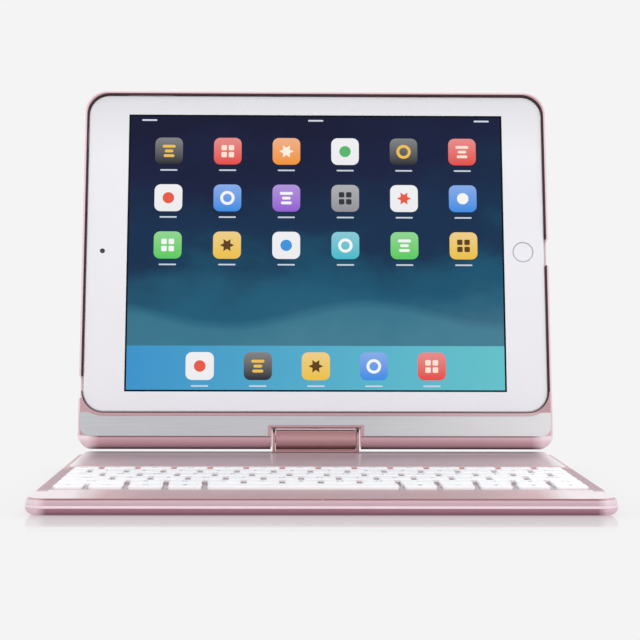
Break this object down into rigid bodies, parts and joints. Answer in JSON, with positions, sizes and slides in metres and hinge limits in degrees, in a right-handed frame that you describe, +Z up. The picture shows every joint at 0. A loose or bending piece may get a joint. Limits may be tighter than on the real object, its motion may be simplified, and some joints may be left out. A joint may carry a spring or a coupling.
{
  "type": "tablet keyboard case",
  "caption": "Slim clamshell keyboard case for a tablet: flat base with low keys, and a shallow tray on a central hinge that tilts and swivels, with the tablet docked in it.",
  "frame": {"origin": "on the table, under the middle of the rear foot strip", "axes": "+X to the right as the user sits, +Y to the rear, +Z up"},
  "size_m": [0.2468, 0.2308, 0.1977],
  "materials": {
    "rose_shell": "satin rose metallic lacquer",
    "rose_lower_shell": "satin rose metallic lacquer",
    "silver_trim": "fine brushed, anodised silver",
    "key_white": "matte white",
    "grey_rubber": "soft matte",
    "steel": "plated",
    "support_plate": "rolled sheet",
    "bush_brass": "turned",
    "film": "polyester film",
    "board_green": "solder mask",
    "cell_wrap": "pouch cell wrap",
    "dark_plastic": "moulded",
    "light_lens": "clear moulded",
    "tablet_silver": "blasted, anodised",
    "bezel_white": "white backed cover glass",
    "screen_panel": "glossy display"
  },
  "bodies": {
    "base": {"base_bottom_cover": "rose_lower_shell", "base_screws": "steel", "base_top_cover": "rose_shell", "battery": "cell_wrap", "cheek_screws": "steel", "circuit_board": "board_green", "front_feet": "grey_rubber", "hinge_cheek_left": "rose_shell", "hinge_cheek_right": "rose_shell", "key_support_plate": "support_plate", "rear_foot": "grey_rubber", "rubber_domes": "grey_rubber", "status_light": "light_lens", "switch_membrane": "film", "usb_port": "steel"},
    "hinge_head": {"tilt_shaft": "steel", "friction_washers": "steel", "pivot_post": "steel", "hinge_cover_front": "rose_shell", "hinge_cover_rear": "rose_shell", "hinge_cover_screws": "steel", "swivel_washer": "steel", "swivel_nut": "steel"},
    "tray": {"tray_shell": "rose_shell", "chin_cover": "rose_shell", "chin_trim": "silver_trim", "chin_screws": "steel", "swivel_bush": "bush_brass", "tray_pads": "grey_rubber"},
    "tablet": {"tablet_housing": "tablet_silver", "tablet_bezel": "bezel_white", "tablet_display": "screen_panel", "tablet_battery": "cell_wrap"},
    "power_switch": {"power_switch": "dark_plastic"},
    "home_button": {"home_button": "bezel_white"},
    "tablet_power_button": {"tablet_power_button": "tablet_silver"},
    "tablet_volume_button": {"tablet_volume_button": "tablet_silver"},
    "key_alt_left": {"key_alt_left": "key_white"},
    "key_alt_right": {"key_alt_right": "key_white"},
    "key_arrow_down": {"key_arrow_down": "key_white"},
    "key_arrow_left": {"key_arrow_left": "key_white"},
    "key_arrow_right": {"key_arrow_right": "key_white"},
    "key_arrow_up": {"key_arrow_up": "key_white"},
    "key_backspace": {"key_backspace": "key_white"},
    "key_caps_lock": {"key_caps_lock": "key_white"},
    "key_control": {"key_control": "key_white"},
    "key_enter": {"key_enter": "key_white"},
    "key_fn": {"key_fn": "key_white"},
    "key_meta_left": {"key_meta_left": "key_white"},
    "key_meta_right": {"key_meta_right": "key_white"},
    "key_shift_left": {"key_shift_left": "key_white"},
    "key_shift_right": {"key_shift_right": "key_white"},
    "key_space": {"key_space": "key_white"},
    "key_tab": {"key_tab": "key_white"},
    "keys_function_row": {"keys_function_row": "key_white"},
    "keys_home_row": {"keys_home_row": "key_white"},
    "keys_lower_row": {"keys_lower_row": "key_white"},
    "keys_number_row": {"keys_number_row": "key_white"},
    "keys_upper_row": {"keys_upper_row": "key_white"}
  },
  "joints": [
    {"name": "display_tilt", "type": "hinge", "parent": "base", "child": "hinge_head", "pos_m": [0, 0.004, 0.0156], "axis": [-1, 0, 0], "range_deg": [-102, 33]},
    {"name": "display_swivel", "type": "hinge", "parent": "hinge_head", "child": "tray", "pos_m": [0, 0.004, 0.0156], "axis": [0, 0.2079, 0.9781], "range_deg": [-180, 180]},
    {"name": "docked_tablet_lift", "type": "slide", "parent": "tray", "child": "tablet", "axis": [0, -0.9781, 0.2079], "range_m": [0, 0.04]},
    {"name": "base_power_slide", "type": "slide", "parent": "base", "child": "power_switch", "axis": [0, 1, 0], "range_m": [0, 0.002]},
    {"name": "home_button_press", "type": "slide", "parent": "tablet", "child": "home_button", "axis": [0, 0.9781, -0.2079], "range_m": [0, 0.00025], "stiffness_N_per_m": 4000},
    {"name": "tablet_power_press", "type": "slide", "parent": "tablet", "child": "tablet_power_button", "axis": [1, 0, 0], "range_m": [0, 0.00025], "stiffness_N_per_m": 4000},
    {"name": "tablet_volume_press", "type": "slide", "parent": "tablet", "child": "tablet_volume_button", "axis": [0, -0.2079, -0.9781], "range_m": [0, 0.00025], "stiffness_N_per_m": 4000},
    {"name": "key_alt_left_press", "type": "slide", "parent": "base", "child": "key_alt_left", "axis": [0, 0, -1], "range_m": [0, 0.0012], "stiffness_N_per_m": 500, "deforming": ["rubber_domes"]},
    {"name": "key_alt_right_press", "type": "slide", "parent": "base", "child": "key_alt_right", "axis": [0, 0, -1], "range_m": [0, 0.0012], "stiffness_N_per_m": 500, "deforming": ["rubber_domes"]},
    {"name": "key_arrow_down_press", "type": "slide", "parent": "base", "child": "key_arrow_down", "axis": [0, 0, -1], "range_m": [0, 0.0012], "stiffness_N_per_m": 500, "deforming": ["rubber_domes"]},
    {"name": "key_arrow_left_press", "type": "slide", "parent": "base", "child": "key_arrow_left", "axis": [0, 0, -1], "range_m": [0, 0.0012], "stiffness_N_per_m": 500, "deforming": ["rubber_domes"]},
    {"name": "key_arrow_right_press", "type": "slide", "parent": "base", "child": "key_arrow_right", "axis": [0, 0, -1], "range_m": [0, 0.0012], "stiffness_N_per_m": 500, "deforming": ["rubber_domes"]},
    {"name": "key_arrow_up_press", "type": "slide", "parent": "base", "child": "key_arrow_up", "axis": [0, 0, -1], "range_m": [0, 0.0012], "stiffness_N_per_m": 500, "deforming": ["rubber_domes"]},
    {"name": "key_backspace_press", "type": "slide", "parent": "base", "child": "key_backspace", "axis": [0, 0, -1], "range_m": [0, 0.0012], "stiffness_N_per_m": 500, "deforming": ["rubber_domes"]},
    {"name": "key_caps_lock_press", "type": "slide", "parent": "base", "child": "key_caps_lock", "axis": [0, 0, -1], "range_m": [0, 0.0012], "stiffness_N_per_m": 500, "deforming": ["rubber_domes"]},
    {"name": "key_control_press", "type": "slide", "parent": "base", "child": "key_control", "axis": [0, 0, -1], "range_m": [0, 0.0012], "stiffness_N_per_m": 500, "deforming": ["rubber_domes"]},
    {"name": "key_enter_press", "type": "slide", "parent": "base", "child": "key_enter", "axis": [0, 0, -1], "range_m": [0, 0.0012], "stiffness_N_per_m": 500, "deforming": ["rubber_domes"]},
    {"name": "key_fn_press", "type": "slide", "parent": "base", "child": "key_fn", "axis": [0, 0, -1], "range_m": [0, 0.0012], "stiffness_N_per_m": 500, "deforming": ["rubber_domes"]},
    {"name": "key_meta_left_press", "type": "slide", "parent": "base", "child": "key_meta_left", "axis": [0, 0, -1], "range_m": [0, 0.0012], "stiffness_N_per_m": 500, "deforming": ["rubber_domes"]},
    {"name": "key_meta_right_press", "type": "slide", "parent": "base", "child": "key_meta_right", "axis": [0, 0, -1], "range_m": [0, 0.0012], "stiffness_N_per_m": 500, "deforming": ["rubber_domes"]},
    {"name": "key_shift_left_press", "type": "slide", "parent": "base", "child": "key_shift_left", "axis": [0, 0, -1], "range_m": [0, 0.0012], "stiffness_N_per_m": 500, "deforming": ["rubber_domes"]},
    {"name": "key_shift_right_press", "type": "slide", "parent": "base", "child": "key_shift_right", "axis": [0, 0, -1], "range_m": [0, 0.0012], "stiffness_N_per_m": 500, "deforming": ["rubber_domes"]},
    {"name": "key_space_press", "type": "slide", "parent": "base", "child": "key_space", "axis": [0, 0, -1], "range_m": [0, 0.0012], "stiffness_N_per_m": 500, "deforming": ["rubber_domes"]},
    {"name": "key_tab_press", "type": "slide", "parent": "base", "child": "key_tab", "axis": [0, 0, -1], "range_m": [0, 0.0012], "stiffness_N_per_m": 500, "deforming": ["rubber_domes"]},
    {"name": "keys_function_row_press", "type": "slide", "parent": "base", "child": "keys_function_row", "axis": [0, 0, -1], "range_m": [0, 0.0012], "stiffness_N_per_m": 7000, "deforming": ["rubber_domes"]},
    {"name": "keys_home_row_press", "type": "slide", "parent": "base", "child": "keys_home_row", "axis": [0, 0, -1], "range_m": [0, 0.0012], "stiffness_N_per_m": 5500, "deforming": ["rubber_domes"]},
    {"name": "keys_lower_row_press", "type": "slide", "parent": "base", "child": "keys_lower_row", "axis": [0, 0, -1], "range_m": [0, 0.0012], "stiffness_N_per_m": 5000, "deforming": ["rubber_domes"]},
    {"name": "keys_number_row_press", "type": "slide", "parent": "base", "child": "keys_number_row", "axis": [0, 0, -1], "range_m": [0, 0.0012], "stiffness_N_per_m": 6500, "deforming": ["rubber_domes"]},
    {"name": "keys_upper_row_press", "type": "slide", "parent": "base", "child": "keys_upper_row", "axis": [0, 0, -1], "range_m": [0, 0.0012], "stiffness_N_per_m": 6500, "deforming": ["rubber_domes"]}
  ]
}
